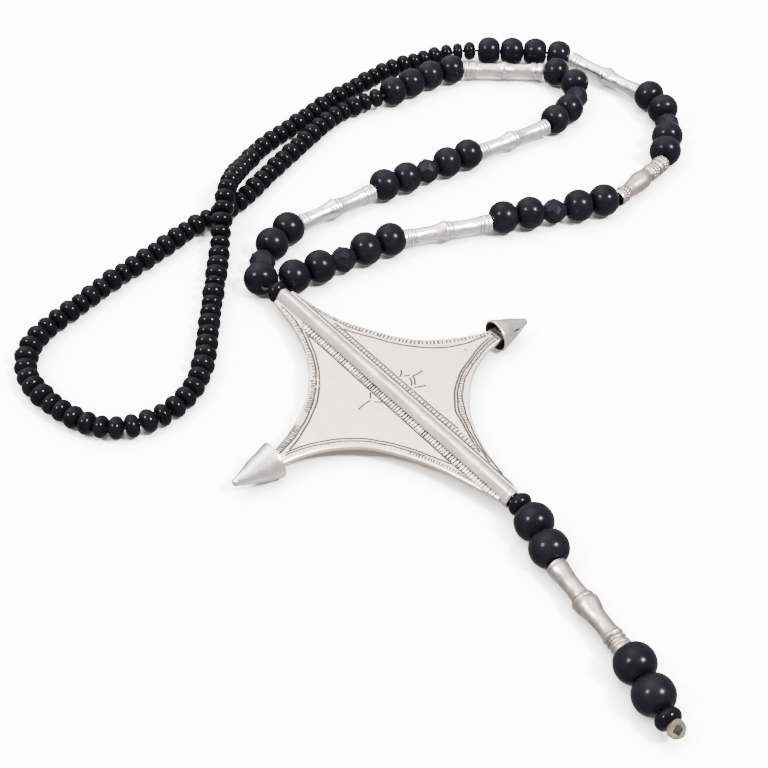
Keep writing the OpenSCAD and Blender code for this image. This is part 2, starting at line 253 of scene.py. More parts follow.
class Paint:
    """Builds a procedural material round one Principled shader."""

    def __init__(self, name):
        self.material = bpy.data.materials.new(name)
        self.material.use_nodes = True
        self.tree = self.material.node_tree
        self.shader = self.tree.nodes["Principled BSDF"]
        self.place = self.tree.nodes.new("ShaderNodeTexCoord")

    def set(self, **values):
        for key, value in values.items():
            self.shader.inputs[key.replace("_", " ")].default_value = value

    def link(self, output, socket):
        self.tree.links.new(output, self.shader.inputs[socket])

    def node(self, kind, feeds, output, **settings):
        return shader_node(self.tree, kind, feeds, output, **settings)

    def noise(self, scale, detail=3, stretch=(1, 1, 1), coords="Object"):
        feeds = {"Vector": self.place.outputs[coords], "Scale": stretch}
        place = self.node("ShaderNodeMapping", feeds, "Vector")
        return self.node("ShaderNodeTexNoise", {"Scale": scale, "Detail": detail, "Vector": place}, "Fac")

    def attribute(self, name):
        return self.node("ShaderNodeAttribute", {}, "Fac", attribute_name=name)

    def range(self, value, low, high, to_low=0.0, to_high=1.0):
        return self.node("ShaderNodeMapRange", {"From Min": low, "From Max": high, "To Min": to_low,
                                                "To Max": to_high, "Value": value}, "Result")

    def math(self, operation, a, b):
        return self.node("ShaderNodeMath", {0: a, 1: b}, "Value", operation=operation)

    def mix(self, factor, a, b):
        a, b = ((*v, 1) if isinstance(v, tuple) else v for v in (a, b))
        return self.node("ShaderNodeMix", {"Factor": factor, "A": a, "B": b}, "Result", data_type="RGBA")

    def bump(self, height, strength, distance):
        feeds = {"Strength": strength, "Distance": distance, "Height": height}
        self.link(self.node("ShaderNodeBump", feeds, "Normal"), "Normal")


def silver_paint(name, light, worn, rough, oxide_and_shade=(0.022, 0.019, 0.017)):
    """Satin silver with faint mottling and dark specks, darker where the attribute dark says so: tarnish in
    lines and hollows, and painted shade on the pendant's tube and strip.
    """
    p = Paint(name)
    p.set(Metallic=1.0)
    cloud = p.range(p.noise(260, 4), 0.38, 0.66)
    speck = p.range(p.noise(2200), 0.6, 0.74)
    streak = p.noise(1.0, 4, (90, 6, 1), "UV")
    base = p.mix(cloud, light, worn)
    base = p.mix(p.math("MULTIPLY", speck, 0.3), base, oxide_and_shade)
    dark = p.attribute("dark")
    # The dark attribute pulls the colour to the dark one: real oxide in lines and specks, and painted shade
    # where a piece marks it so
    base = p.mix(dark, base, oxide_and_shade)
    p.link(base, "Base Color")
    gloss = p.range(cloud, 0, 1, rough - 0.05, rough + 0.1)
    p.link(p.math("ADD", gloss, p.math("MULTIPLY", dark, 0.3)), "Roughness")
    grain = p.math("ADD", p.noise(900, 5), p.math("MULTIPLY", streak, 0.6))
    p.bump(grain, 0.35, 0.00012)
    return p.material


def lighter(colour):
    return tuple(c * 1.8 for c in colour)


def oxide_paint(name, colour):
    """Dull dark tarnish in engraved lines; in the cones' hollows the same dark is painted shade."""
    p = Paint(name)
    p.set(Roughness=0.7, Specular_IOR_Level=0.1)
    p.link(p.mix(p.range(p.noise(900), 0.35, 0.65), colour, lighter(colour)), "Base Color")
    return p.material


def black_paint(name, colour, rough, specular, grain):
    """Polished black stone or glass with a slightly uneven skin."""
    p = Paint(name)
    p.set(Specular_IOR_Level=specular)
    p.link(p.mix(p.range(p.noise(180), 0.35, 0.7), colour, lighter(colour)), "Base Color")
    p.link(p.range(p.noise(420, 4), 0.3, 0.7, rough * 0.85, rough * 1.2), "Roughness")
    p.bump(p.noise(700, 4), grain, 0.00006)
    return p.material


def thread_paint():
    p = Paint("thread_fibre")
    p.set(Roughness=0.85, Specular_IOR_Level=0.2)
    fibre = p.range(p.noise(1500), 0.35, 0.65)
    p.link(p.mix(fibre, (0.002, 0.0015, 0.002), (0.006, 0.004, 0.005)), "Base Color")
    p.bump(p.noise(6000), 0.5, 0.00008)
    return p.material


def hide_paint():
    """Pale hide, with the dark knot of the thread in the middle where "dark" says so."""
    p = Paint("washer_hide")
    p.set(Roughness=0.75, Specular_IOR_Level=0.1)
    skin = p.mix(p.range(p.noise(500, 4), 0.35, 0.65), (0.046, 0.040, 0.030), (0.020, 0.017, 0.012))
    p.link(p.mix(p.attribute("dark"), skin, (0.0065, 0.0045, 0.004)), "Base Color")
    p.bump(p.noise(1800, 5), 0.5, 0.0002)
    return p.material


# Meshes

def mesh_object(name, verts, faces, materials, slots=None, smooth=True, sharp=None, dark=None, uv=None):
    """A mesh object from vertices in mm; dark is one number a vertex, uv one pair a face corner."""
    mesh = bpy.data.meshes.new(name)
    mesh.from_pydata((np.asarray(verts) * MM).tolist(), [], faces)
    for material in materials:
        mesh.materials.append(material)
    if slots is not None:
        mesh.polygons.foreach_set("material_index", slots)
    mesh.polygons.foreach_set("use_smooth", [smooth] * len(mesh.polygons))
    if smooth and sharp:
        mesh.set_sharp_from_angle(angle=math.radians(sharp))
    tint = mesh.attributes.new("dark", "FLOAT", "POINT")
    tint.data.foreach_set("value", np.zeros(len(verts)) if dark is None else np.asarray(dark, float))
    if uv is not None:
        layer = mesh.uv_layers.new(name="UVMap")
        layer.data.foreach_set("uv", np.asarray(uv, float).ravel())
    mesh.update()
    return add(bpy.data.objects.new(name, mesh))


def place(ob, slot, *replaced):
    """Fixes a piece to the necklace and hides the nodes that it stands in for; slot is not used."""
    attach(ob, "root")
    if replaced:
        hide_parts(*replaced)
    return ob


def angles(sides):
    """Even steps of angle round a circle."""
    return np.arange(sides) * 2 * math.pi / sides


def circle(sides):
    """Even points round a circle of radius 1."""
    return np.stack([np.cos(angles(sides)), np.sin(angles(sides))], 1)


def ring_faces(rows, sides, closed=False):
    """Four-sided faces between rows of points, each row a ring; closed joins the last row to the first."""
    faces = []
    for i in range(rows if closed else rows - 1):
        j = (i + 1) % rows
        for k in range(sides):
            m = (k + 1) % sides
            faces.append((i * sides + k, i * sides + m, j * sides + m, j * sides + k))
    return faces


def shifted(faces, first):
    """The same faces on points that start at the number first."""
    return [tuple(i + first for i in f) for f in faces]


def turned(profile, sides):
    """Rings of a closed profile of (radius, height) turned round Z: points, faces, uv by corner."""
    profile = np.asarray(profile, float)
    rows = len(profile)
    points = np.zeros((rows, sides, 3))
    points[:, :, :2] = profile[:, None, :1] * circle(sides)[None]
    points[:, :, 2] = profile[:, 1:2]
    uv = []
    for i in range(rows):
        v0, v1 = i / rows, (i + 1) / rows
        for k in range(sides):
            u0, u1 = k / sides, (k + 1) / sides
            uv += [(u0, v0), (u1, v0), (u1, v1), (u0, v1)]
    return points, ring_faces(rows, sides, True), uv


def grid(along, sides):
    """Place along the axis and angle of each point of turned rings."""
    return np.meshgrid(np.asarray(along, float), angles(sides), indexing="ij")


def swell(points, change):
    """Moves the points of turned rings outward, each by its own change."""
    across = points[:, :, :2]
    away = np.maximum(np.linalg.norm(across, axis=2, keepdims=True), 1e-6)
    points[:, :, :2] += across / away * change[:, :, None]


def add_dents(change, rng, s, a, count, size, lobes, twist, pace):
    """Adds shallow dents to change: waves with some lobes round the tube, a twist and a pace along it."""
    for _ in range(count):
        wave = np.sin(rng.integers(*lobes) * a + phase(rng) + s * rng.uniform(-twist, twist))
        change += size * wave * np.sin(s * rng.uniform(*pace) + phase(rng))


def axes_for(direction):
    """Three directions: level and across the axis, across it and downward, and the axis itself."""
    z = unit(np.asarray(direction, float))
    x = unit(np.cross(z, UP)) if abs(z[2]) < 0.99 else np.array([1.0, 0, 0])
    return np.stack([x, np.cross(z, x), z])


def curve_through(points, step):
    """Points about one step apart on a smooth curve through the given ones."""
    p = np.asarray(points, float)
    out = []
    for i in range(len(p) - 1):
        a, b, c, d = p[max(i - 1, 0)], p[i], p[i + 1], p[min(i + 2, len(p) - 1)]
        n = max(1, round(float(np.linalg.norm(c - b)) / step))
        for k in range(n):
            t = k / n
            out.append(0.5 * (2 * b + (c - a) * t + (2 * a - 5 * b + 4 * c - d) * t * t
                              + (3 * b - a - 3 * c + d) * t ** 3))
    out.append(p[-1])
    return np.array(out)


# Places of the loose solids of a node

def islands(ob):
    """The triangles of each separate solid of a node, in mm."""
    mesh = ob.data
    co = np.empty(len(mesh.vertices) * 3)
    mesh.vertices.foreach_get("co", co)
    mesh.calc_loop_triangles()
    tri = np.empty(len(mesh.loop_triangles) * 3, int)
    mesh.loop_triangles.foreach_get("vertices", tri)
    keys, same = np.unique(np.round(co.reshape(-1, 3), 7), axis=0, return_inverse=True)
    tri = same.ravel()[tri.reshape(-1, 3)]
    label = np.arange(len(keys))
    while True:
        lower = label.copy()
        np.minimum.at(lower, tri.ravel(), np.repeat(label[tri].min(1), 3))
        lower = lower[lower]
        if (lower == label).all():
            break
        label = lower
    first = label[tri[:, 0]]
    return [keys[tri[first == n]] / MM for n in np.unique(first)]


def placing(triangles):
    """Centre, axis and length along it of a turned solid."""
    a, b, c = triangles[:, 0], triangles[:, 1], triangles[:, 2]
    volume = np.einsum("ij,ij->i", a, np.cross(b, c)) / 6
    centre = ((a + b + c) / 4 * volume[:, None]).sum(0) / volume.sum()
    a, b, c = a - centre, b - centre, c - centre
    volume = np.einsum("ij,ij->i", a, np.cross(b, c)) / 6
    spread = np.zeros((3, 3))
    for v in (a, b, c, a + b + c):
        spread += np.einsum("i,ij,ik->jk", volume, v, v) / 20
    size, axes = np.linalg.eigh(spread)
    axis = axes[:, 0] if size[1] - size[0] > size[2] - size[1] else axes[:, 2]
    along = (triangles.reshape(-1, 3) - centre) @ axis
    middle = (along.max() + along.min()) / 2
    return centre + axis * middle, axis, float(along.max() - along.min())


SOLIDS = {name: [placing(t) for t in islands(ob)] for name, ob in nodes.items()
          if name not in ("pendant", "thread")}


# Beads

def bead_profile(width, length, bore, steps, flat):
    """Closed profile of a drilled bead, its hole's edges broken; flat above 1 flattens its ends."""
    half = length / 2
    core = width / 2 - half
    hole = bore / 2 + 0.12
    limit = math.acos((hole - core) / half)
    arc = []
    for a in np.linspace(-limit, limit, steps):
        rise = abs(math.sin(a))
        if flat > 1:
            rise *= flat / (1 + (flat * rise) ** 12) ** (1 / 12)
            rise /= flat / (1 + flat ** 12) ** (1 / 12)
        arc.append((core + half * math.cos(a), math.copysign(half * rise, a)))
    top = arc[-1][1]
    return arc + [(bore / 2 + 0.03, top - 0.07), (bore / 2, top - 0.22),
                  (bore / 2, 0.0), (bore / 2, 0.22 - top), (bore / 2 + 0.03, 0.07 - top)]


def in_order(places):
    """The places in the order in which a thread meets them."""
    left = list(places)
    centres = np.array([c for c, _, _ in left])
    gap = np.linalg.norm(centres[:, None] - centres[None], axis=2)
    row = [left.pop(int(np.argmin((gap < 6.5).sum(1))))]
    while left:
        row.append(left.pop(int(np.argmin([np.linalg.norm(c - row[-1][0]) for c, _, _ in left]))))
    return row


def uneven(places, width, seed, spread):
    """Neighbours of uneven length in a string, each filling most of the room that it has."""
    rng = np.random.default_rng(seed)
    row = in_order(places)
    share = rng.uniform(1 - spread, 1 + spread, len(row))
    share[[0, -1]] = 0.92
    ends = [a + (b - a) * share[i] / (share[i] + share[i + 1])
            for i, (a, b) in enumerate(zip([r[0] for r in row], [r[0] for r in row[1:]]))]
    ends = [2 * row[0][0] - ends[0]] + ends + [2 * row[-1][0] - ends[-1]]
    out = []
    for a, b, part in zip(ends, ends[1:], share):
        room = float(np.linalg.norm(b - a))
        out.append(((a + b) / 2, unit(b - a), room * SMALL_SHARE, width * (0.78 + 0.22 * part)))
    return out


def filled(places):
    """The same beads, each made longer where it leaves room before its neighbours in the string."""
    out = []
    for i, (centre, axis, length, width) in enumerate(places):
        reach = []
        for j, (other, _, n, _) in enumerate(places):
            away = float(np.linalg.norm(other - centre))
            along = abs(float(unit(other - centre) @ axis)) if j != i else 0.0
            if j != i and away < NEIGHBOUR_WITHIN and along > 0.85:
                reach.append(away - (length + n) / 2)
        spare = min(reach) if len(reach) > 1 else 0.0
        out.append((centre, axis, length + max(0.0, min(spare * FILL_SHARE, FILL_MOST)), width))
    return out


def beads(name, places, bore, paint, steps, sides, seed, tilt, dent, flat=1.0):
    """Drilled beads at their centres, with axis, length and width; uneven by tilt and by dent."""
    rng = np.random.default_rng(seed)
    verts, faces = [], []
    for centre, axis, length, wide in places:
        points, rings, _ = turned(bead_profile(wide, length, bore, steps, flat), sides)
        points = points.reshape(-1, 3)
        lump = np.zeros(len(points))
        for _ in range(4):
            wave = unit(rng.normal(size=3)) * rng.uniform(0.5, 1.1) * 10 / wide
            lump += np.sin(points @ wave + phase(rng))
        points *= (1 - dent * (1 + lump[:, None] / 4) / wide)
        turn = axes_for(unit(axis + rng.uniform(-1, 1, 3) * tilt))
        centre = np.array([centre[0], centre[1], max(centre[2], wide / 2 + 0.02)])
        faces += shifted(rings, len(verts) * len(points))
        verts.append(points @ turn + centre)
    return mesh_object(name, np.concatenate(verts), faces, [paint], sharp=50)


# Rings of a cut bead: radius, share of its length from the middle, turn as a share of one side
CUT_RINGS = ((1.1, -0.5, 0.5), (2.2, -0.5, 0.5), (3.8, -0.21, 0.5), (4.4, 0.0, 0.0), (3.8, 0.21, 0.5),
             (2.2, 0.5, 0.5), (1.1, 0.5, 0.5))
CUT_SIDES = 8


def cut_bead(name, centre, axis, length, paint, turn):
    """A cut bead: end tables, four-sided and three-cornered facets, and a drilled hole."""
    verts = []
    for r, share, half in CUT_RINGS:
        for k in range(CUT_SIDES):
            a = (k + half) * 2 * math.pi / CUT_SIDES + turn
            verts.append((r * math.cos(a), r * math.sin(a), share * length))

    def at(i, k):
        return i % len(CUT_RINGS) * CUT_SIDES + k % CUT_SIDES

    def four(i, k):
        return at(i, k), at(i, k + 1), at(i + 1, k + 1), at(i + 1, k)

    faces = []
    for k in range(CUT_SIDES):
        faces += [four(0, k), four(1, k),
                  (at(2, k), at(2, k + 1), at(3, k + 1)), (at(2, k), at(3, k + 1), at(3, k)),
                  (at(4, k), at(3, k), at(3, k + 1)), (at(4, k), at(3, k + 1), at(4, k + 1)),
                  four(4, k), four(5, k), four(6, k)]
    return mesh_object(name, np.array(verts) @ axes_for(axis) + centre, faces, [paint], smooth=False)


# Silver tubes

# Profiles of the tubes: (share of the length, radius in mm)
PLAIN = [(0, 2.75), (0.05, 2.72), (0.12, 2.5), (0.2, 2.36), (0.3, 2.36), (0.38, 2.6), (0.44, 3.05),
         (0.475, 3.3), (0.495, 3.15), (0.505, 2.8), (0.53, 2.85), (0.56, 2.6), (0.64, 2.4),
         (0.76, 2.4), (0.88, 2.6), (0.95, 2.78), (1, 2.78)]
COLLARED = [(0, 2.85), (0.04, 3.0), (0.055, 2.75), (0.08, 2.65), (0.1, 2.95), (0.14, 3.0), (0.155, 2.6),
            (0.22, 2.4), (0.32, 2.36), (0.4, 2.5), (0.45, 2.85), (0.485, 3.1), (0.51, 3.05),
            (0.54, 2.65), (0.62, 2.4), (0.72, 2.38), (0.82, 2.45), (0.845, 2.6), (0.86, 3.0),
            (0.9, 2.95), (0.92, 2.65), (0.945, 2.75), (0.96, 3.0), (1, 2.85)]
ORNATE = [(0, 2.65), (0.03, 2.85), (0.09, 2.72), (0.13, 2.85), (0.18, 2.5), (0.21, 2.42), (0.27, 2.5),
          (0.36, 2.9), (0.44, 3.25), (0.5, 3.35), (0.56, 3.15), (0.62, 2.5), (0.645, 2.35),
          (0.67, 2.7), (0.72, 2.92), (0.78, 2.85), (0.815, 2.5), (0.83, 2.75), (0.86, 2.92),
          (0.895, 2.55), (0.915, 2.8), (0.95, 2.9), (1, 2.65)]
DROP = [(0, 2.75), (0.04, 2.85), (0.09, 2.65), (0.18, 2.45), (0.3, 2.38), (0.38, 2.42), (0.395, 2.85),
        (0.42, 3.0), (0.435, 2.85), (0.45, 3.25), (0.48, 3.3), (0.53, 3.0), (0.6, 2.55), (0.68, 2.36),
        (0.76, 2.38), (0.82, 2.55), (0.845, 2.8), (0.87, 2.5), (0.895, 2.8), (0.92, 2.5),
        (0.95, 2.75), (1, 2.7)]

# Tube node: profile, rough direction, ring lines by share of its length, kind of detail
TUBES = {
    "left_tube_1": (PLAIN, (23.6, 16.8), [0.025, 0.06, 0.11, 0.88, 0.945, 0.975], "plain"),
    "left_tube_2": (PLAIN, (24.6, 15.4), [0.03, 0.075, 0.12, 0.87, 0.92, 0.97], "plain"),
    "left_tube_3": (COLLARED, (-29, 1.4), [0.02, 0.07, 0.12, 0.88, 0.93, 0.98], "plain"),
    "right_tube_1": (PLAIN, (27.9, 7.9), [0.03, 0.06, 0.1, 0.125, 0.87, 0.9, 0.96], "plain"),
    "right_tube_2": (ORNATE, (17.9, 20.2), [0.2, 0.64, 0.82, 0.9], "ornate"),
    "right_tube_3": (PLAIN, (-22.3, 22.3), [0.03, 0.07, 0.86, 0.9, 0.95], "plain"),
    "drop_tube": (DROP, (13.8, -25), [0.03, 0.385, 0.865, 0.91, 0.96], "drop"),
}


def smooth_profile(points, shares):
    """Radius at each share of the length, on a curve that keeps each steep step."""
    x = np.array([p[0] for p in points])
    y = np.array([p[1] for p in points])
    slope = np.zeros(len(x))
    d = np.diff(y) / np.diff(x)
    for i in range(1, len(x) - 1):
        slope[i] = 0 if d[i - 1] * d[i] <= 0 else 2 * d[i - 1] * d[i] / (d[i - 1] + d[i])
    i = np.clip(np.searchsorted(x, shares, side="right") - 1, 0, len(x) - 2)
    h = x[i + 1] - x[i]
    t = (shares - x[i]) / h
    return ((2 * t ** 3 - 3 * t ** 2 + 1) * y[i] + (t ** 3 - 2 * t ** 2 + t) * h * slope[i]
            + (3 * t ** 2 - 2 * t ** 3) * y[i + 1] + (t ** 3 - t ** 2) * h * slope[i + 1])


GRAINS_ROUND = 17


def hump(x, width, power=2):
    """1 at x = 0, falling away over about the width on both sides."""
    return np.exp(-(x / width) ** power)


def grains(share, angle, start, end, rows):
    """Height from 0 to 1 of rows of round grains soldered between two shares of the length."""
    row = (share - start) / (end - start) * rows
    inside = (row > 0) & (row < rows)
    shift = (np.floor(row) % 2) * 0.5
    across = (angle / (2 * math.pi) * GRAINS_ROUND + shift) % 1 - 0.5
    dome = 1 - 4 * (across ** 2 + (row % 1 - 0.5) ** 2)
    return np.where(inside, np.sqrt(np.clip(dome, 0, 1)), 0)


def tube(name, profile, direction, lines, kind, paint, seed):
    """A worked silver tube: shaped wall, ring lines, dents and dark lines in its hollows."""
    centre, axis, length = SOLIDS[name][0]
    if axis[:2] @ np.array(direction, float) < 0:
        axis = -axis
    rng = np.random.default_rng(seed)
    rows, sides = (260, 112) if kind == "ornate" else (230, 64)
    share = np.linspace(0, 1, rows)
    inner_share = np.linspace(1, 0, 24)
    inner = np.full(len(inner_share), TUBE_BORE_R)
    inner[[0, -1]] = 2.3
    inner[[1, -2]] = 2.1
    shape = np.concatenate([np.stack([smooth_profile(profile, share), (share - 0.5) * length], 1),
                            np.stack([inner, (inner_share - 0.5) * length], 1)])
    points, faces, uv = turned(shape, sides)
    s, a = grid(np.concatenate([share, inner_share]), sides)
    wall = (np.arange(len(shape)) < rows)[:, None]
    change, dark = np.zeros_like(s), np.zeros_like(s)
    for line in lines:
        wobble = 0.0025 * np.sin(a + phase(rng)) + 0.001 * np.sin(3 * a + phase(rng))
        cut = hump((s - line - wobble) * length, 0.19)
        fade = 0.62 + 0.38 * np.sin(5 * a + phase(rng)) * np.sin(2 * a + phase(rng))
        change -= 0.12 * cut
        dark += cut * fade
    add_dents(change, rng, s, a, 26, 0.011, (1, 6), 14, (8, 46))
    if kind == "plain":
        spot = np.exp(-(((s - 0.515) * length / 0.55) ** 2 + ((np.sin((a - 2.2) / 2)) / 0.16) ** 2))
        change += 0.28 * spot
        dark += 0.7 * hump((s - 0.502) * length, 0.14) * (0.5 + 0.5 * np.sin(a + 1))
    if kind == "ornate":
        for start, end, rows_of_grains in ((0.02, 0.19, 4), (0.67, 0.815, 3), (0.905, 0.99, 2)):
            height = grains(s, a, start, end, rows_of_grains)
            inside = (s > start) & (s < end)
            change += np.where(inside, 0.24 * height - 0.16, 0)
            dark += np.where(inside, 0.95 * (1 - height) ** 2, 0)
    if kind == "drop":
        lobe = np.exp(-(((s - 0.41) * length / 1.0) ** 2 + (np.sin((a - 0.7) / 2) / 0.3) ** 2))
        change += 0.55 * lobe
        for turn in (0.75, 1.9):
            change += 0.14 * (hump(np.sin((a - turn) / 2), 0.07, 4) * (s > 0.02) * (s < 0.2))
    swell(points, np.where(wall, change, 0))
    dark = np.where(wall, np.clip(dark, 0, 1), 0.9)
    points = points.reshape(-1, 3) @ axes_for(axis) + centre
    ob = mesh_object(f"{name}_silver", points, faces, [paint], sharp=45, dark=dark.ravel(), uv=uv)
    return place(ob, "silver", name)


# Pendant

def to_world(points, z):
    """Points of the pendant's plane, in mm, at the heights z."""
    p = np.asarray(points, float)
    c, s = math.cos(PENDANT_TURN), math.sin(PENDANT_TURN)
    x = PENDANT_AT[0] + c * p[:, 0] - s * p[:, 1]
    y = PENDANT_AT[1] + s * p[:, 0] + c * p[:, 1]
    return np.stack([x, y, np.broadcast_to(z, x.shape)], 1)


class Edge:
    """One concave edge of the plate, and the places inside it."""

    def __init__(self, points):
        self.line = curve_through(points, 0.4)
        step = np.linalg.norm(np.diff(self.line, axis=0), axis=1)
        self.length = np.concatenate([[0], np.cumsum(step)])
        self.inward = left_of(units(np.gradient(self.line, axis=0)))
        limit = np.full(len(self.line), 60.0)
        for i, (p, n) in enumerate(zip(self.line, self.inward)):
            if p[0] * n[0] < 0:
                left = STRIP_X + 0.25 if STRIP_CLEAR[0] < p[1] < STRIP_CLEAR[1] else BARE_X
                limit[i] = max(0.0, (abs(p[0]) - (SEAM_X if p[0] > 0 else left)) / abs(n[0]))
        self.limit = np.convolve(np.pad(limit, 4, mode="edge"), np.ones(9) / 9, mode="valid")

    def pick(self, values, s):
        return np.interp(s, self.length, values)

    def room(self, s):
        return float(self.pick(self.limit, s))

    def at(self, s, depth):
        """A point at the distance s along the edge and depth mm inside it, where there is room."""
        inside = min(depth, self.room(s))
        return np.array([self.pick(self.line[:, i], s) + self.pick(self.inward[:, i], s) * inside
                         for i in (0, 1)])


def level(knots, s):
    """Depth inside an edge at the distance s: one number, or steps of (distance, depth)."""
    if isinstance(knots, (int, float)):
        return float(knots)
    return float(np.interp(s, [k[0] for k in knots], [k[1] for k in knots]))


class Relief:
    """Points, edges and depths of a flat sheet with engraving cut into it by an uneven hand."""

    def __init__(self, seed=8):
        self.points, self.depths, self.edges = [], [], []
        self.hand = np.random.default_rng(seed)

    def run(self, points, depth, closed):
        first = len(self.points)
        n = len(points)
        self.points += [tuple(map(float, p)) for p in points]
        self.depths += list(np.broadcast_to(depth, n))
        self.edges += [(first + i, first + i + 1) for i in range(n - 1)]
        if closed:
            self.edges.append((first + n - 1, first))

    def groove(self, points, width, depth, blunt=False):
        """A V-shaped line that runs out at both ends, or has blunt ends."""
        p = np.asarray(points, float)
        side = left_of(units(np.gradient(p, axis=0))) * width * LINE_SCALE / 2
        if blunt:
            self.run(np.concatenate([p + side * 0.8, (p - side * 0.8)[::-1]]), 0, True)
            spine = p.copy()
            spine[0] += (p[1] - p[0]) * 0.3
            spine[-1] += (p[-2] - p[-1]) * 0.3
            self.run(spine, depth, False)
        else:
            self.run(np.concatenate([p[:1], (p + side)[1:-1], p[-1:], (p - side)[1:-1][::-1]]), 0, True)
            self.run(p[1:-1], depth, False)

    def pit(self, centre, radius, depth):
        """A small round hollow."""
        self.run(np.asarray(centre) + circle(8) * radius, 0, True)
        self.run(np.asarray(centre) + circle(8) * radius * 0.5, depth, True)

    def stroke(self, points, width=0.42, depth=0.16, step=LINE_STEP):
        """A free line on a smooth curve through the points."""
        self.groove(curve_through(points, step), width, depth)

    def rung(self, a, b, width, depth):
        """One short stroke from a to b, cut by hand and so a little uneven."""
        a, b = np.asarray(a, float), np.asarray(b, float)
        if np.linalg.norm(b - a) > RUNG_MIN:
            bow = unit(np.array([a[1] - b[1], b[0] - a[0]])) * self.hand.uniform(-0.05, 0.05)
            path = [a + (b - a) * t + bow * math.sin(math.pi * t) for t in (0, 0.33, 0.67, 1)]
            self.groove(path, RUNG_SCALE * width * self.hand.uniform(0.75, 1.2),
                        depth * self.hand.uniform(0.9, 1.1), blunt=True)

    def edge_rungs(self, edge, near, far, pitch, start, end, width=0.4, depth=0.15):
        """Strokes across a band beside an edge."""
        s = start
        while s < end:
            lean = self.hand.uniform(-0.1, 0.1)
            low, high = level(near, s), level(far, s)
            if edge.room(s) > low + 0.4:
                self.rung(edge.at(s, low + self.hand.uniform(0, 0.08)),
                          edge.at(s + lean, high - self.hand.uniform(0, 0.1)), width, depth)
            s += pitch * self.hand.uniform(0.86, 1.14)

    def edge_line(self, edge, knots, start, end, width=0.42, depth=0.16):
        """A long line beside an edge."""
        keep = [v for v in np.arange(start, end, LINE_STEP) if edge.room(v) > level(knots, v) - 0.2]
        if len(keep) > 4:
            sway = [0.05 * math.sin(v * 0.9 + start) for v in keep]
            self.groove([edge.at(v, level(knots, v) + w + 0.03 * math.sin(v * 2.3))
                         for v, w in zip(keep, sway)], width, depth)

    def solve(self, outline):
        """Triangles inside the outline, and the depth of each corner."""
        points, _, faces, origin, _, _ = delaunay_2d_cdt(
            [Vector(p) for p in self.points], self.edges, [], 0, 1e-4)
        flat = np.array([tuple(p) for p in points])
        depth = np.array([np.mean([self.depths[i] for i in o]) if o else np.nan for o in origin])
        kept = []
        for f, inside in zip(faces, within(np.array([flat[list(f)].mean(0) for f in faces]), outline)):
            if inside:
                a, b, c = flat[list(f)[:3]]
                turn = (b[0] - a[0]) * (c[1] - a[1]) - (b[1] - a[1]) * (c[0] - a[0])
                kept.append(tuple(f) if turn > 0 else tuple(reversed(f)))
        depth = np.where(np.isnan(depth), 0.06, depth)
        first = {}
        for new, old in enumerate(origin):
            for i in old:
                first[i] = new
        return flat, kept, depth, first


def within(points, outline):
    """Which points are inside a closed outline."""
    x, y = points[:, 0], points[:, 1]
    inside = np.zeros(len(points), bool)
    a = outline
    b = np.roll(outline, -1, axis=0)
    for (ax, ay), (bx, by) in zip(a, b):
        if ay == by:
            continue
        cross = (ay > y) != (by > y)
        inside ^= cross & (x < (bx - ax) * (y - ay) / (by - ay) + ax)
    return inside


def engrave_upper_right(relief, edge):
    """A thin line and rungs beside the edge, and two free lines inside them."""
    whole = edge.length[-1]
    relief.edge_line(edge, 0.3, 7.0, whole - 8, 0.26)
    relief.edge_rungs(edge, [(whole - 28, 0.55), (whole - 22, 0.5)],
                      [(10, 1.5), (20, 2.1), (38, 2.1), (whole - 22, 1.5)], 1.12, 7.2, whole - 9, 0.48)
    relief.stroke([(36.5, 0.75), (34, 1.2), (32, 1.5), (30, 1.8), (28, 2.5), (26, 3.3), (24, 4.25), (22, 5.6),
                   (20, 7.15), (18, 9.1), (16, 11.3), (14, 13.8), (12, 16.8), (10.3, 20), (9.0, 22.2),
                   (7.3, 25), (6.1, 27.3), (5.3, 29.3)], 0.5, 0.17)
    relief.stroke([(8.9, 25.2), (7.2, 28.4), (6.1, 32), (4.95, 36), (4.25, 40), (3.95, 43.5)])


def engrave_upper_left(relief, edge):
    """Rungs and lines from the top down to a bend with a pit, and from there out to the left point."""
    whole = edge.length[-1]
    bend = float(edge.length[int(np.argmin(np.abs(edge.line[:, 0] + 15.7)))])
    relief.edge_line(edge, 0.16, 4, bend - 1, 0.24, 0.1)
    relief.edge_rungs(edge, [(2, 0.35), (27, 0.42), (32, 0.95), (38, 0.9)],
                      [(2, 0.75), (12, 1.2), (23, 1.15), (27, 1.5), (32, 1.75), (38, 1.95)],
                      1.3, 8.0, bend - 1.4, 0.48)
    relief.edge_line(edge, [(4, 1.25), (10, 1.6), (17, 1.55), (23, 1.4), (27, 1.75), (32, 2.0), (bend, 2.15)],
                     4.0, bend + 2.2, 0.5, 0.17)
    relief.edge_line(edge, [(13, 2.2), (17, 2.4), (23, 2.3), (27, 2.6), (32, 2.85), (bend, 3.1)],
                     16.5, bend + 2.6)
    relief.pit(edge.at(bend, 1.0), 0.5, 0.25)
    low = [(bend, 2.15), (44, 2.2), (50, 2.4), (58, 2.5), (66, 2.1)]
    relief.edge_line(edge, low, bend - 0.8, whole - 5.5, 0.5, 0.17)
    relief.edge_line(edge, [(bend, 3.1), (44, 3.3), (50, 3.4), (58, 3.6), (66, 3.7)],
                     bend - 0.4, whole - 7.5, 0.5, 0.17)
    relief.edge_line(edge, 0.42, 54, whole - 4.8)
    for start, end, near, width, depth in ((bend + 1.0, 49, 0.6, 0.44, 0.15), (49, 54.5, 0.9, 0.26, 0.08),
                                           (54.5, whole - 5, 0.6, 0.46, 0.15)):
        relief.edge_rungs(edge, near, [(s, d - 0.25) for s, d in low], 0.72, start, end, width, depth)


